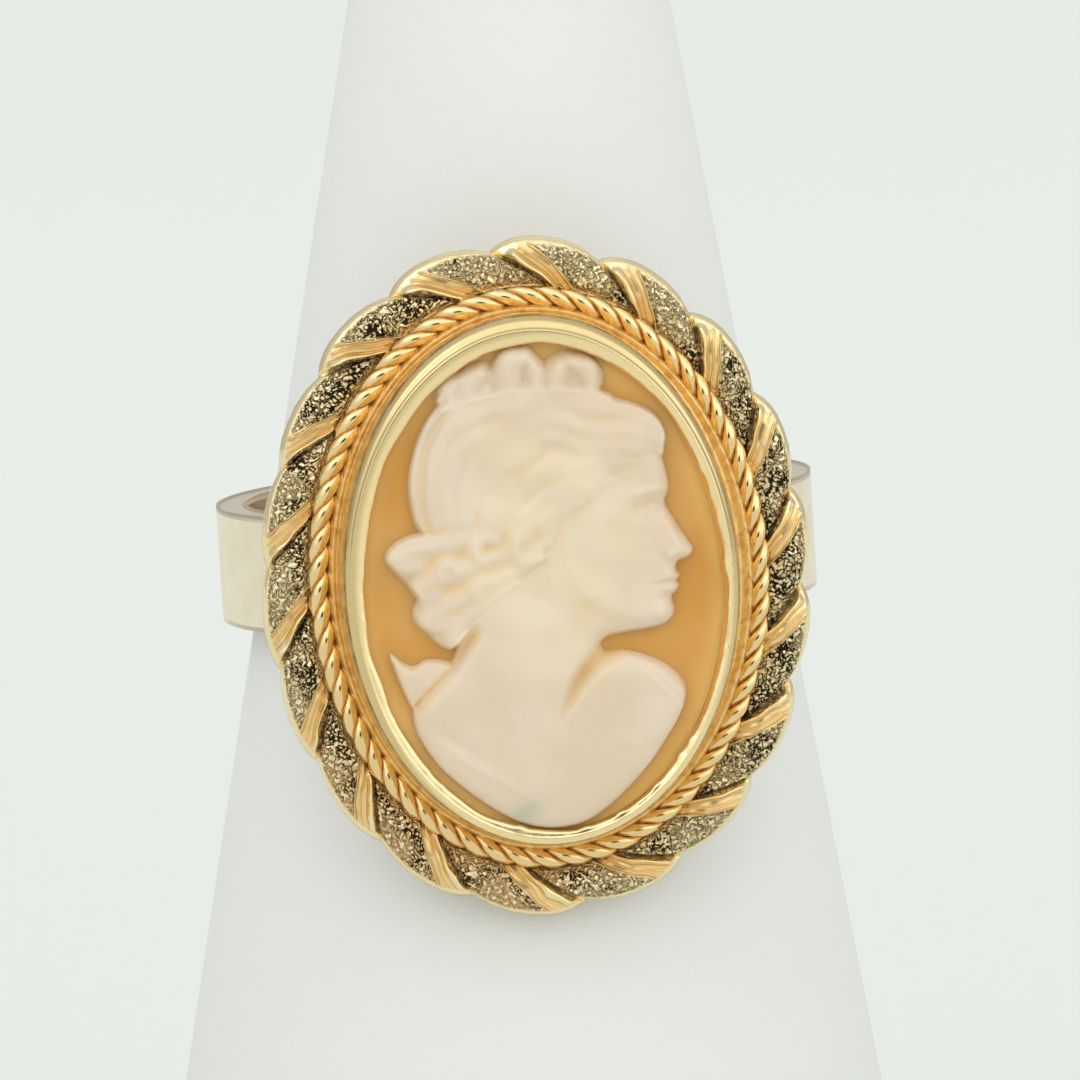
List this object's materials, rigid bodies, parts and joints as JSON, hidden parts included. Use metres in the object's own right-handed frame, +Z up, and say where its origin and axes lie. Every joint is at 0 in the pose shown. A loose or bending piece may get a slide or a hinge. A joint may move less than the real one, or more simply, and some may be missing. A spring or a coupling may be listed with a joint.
{
  "type": "cameo ring on a ring display cone",
  "caption": "Gold ring with an oval shell cameo in a tall bezel, a twisted wire and a scalloped ribbon frame, resting on a frosted display cone.",
  "frame": {"origin": "centre of the display cone's flat base", "axes": "+Z up along the cone's axis, -Y towards the viewer who looks at the cameo, +X to that viewer's right"},
  "size_m": [0.0282, 0.0297, 0.0666],
  "materials": {
    "frosted_acrylic": "frosted",
    "gold": "polished, with textured fields",
    "wire_gold": "polished",
    "orange_shell": "satin",
    "white_shell": "satin"
  },
  "bodies": {
    "root": {"display_cone": "frosted_acrylic", "ring_mount": "gold", "rope_wire": "wire_gold", "cameo_ground": "orange_shell", "cameo_figure": "white_shell"}
  },
  "joints": []
}
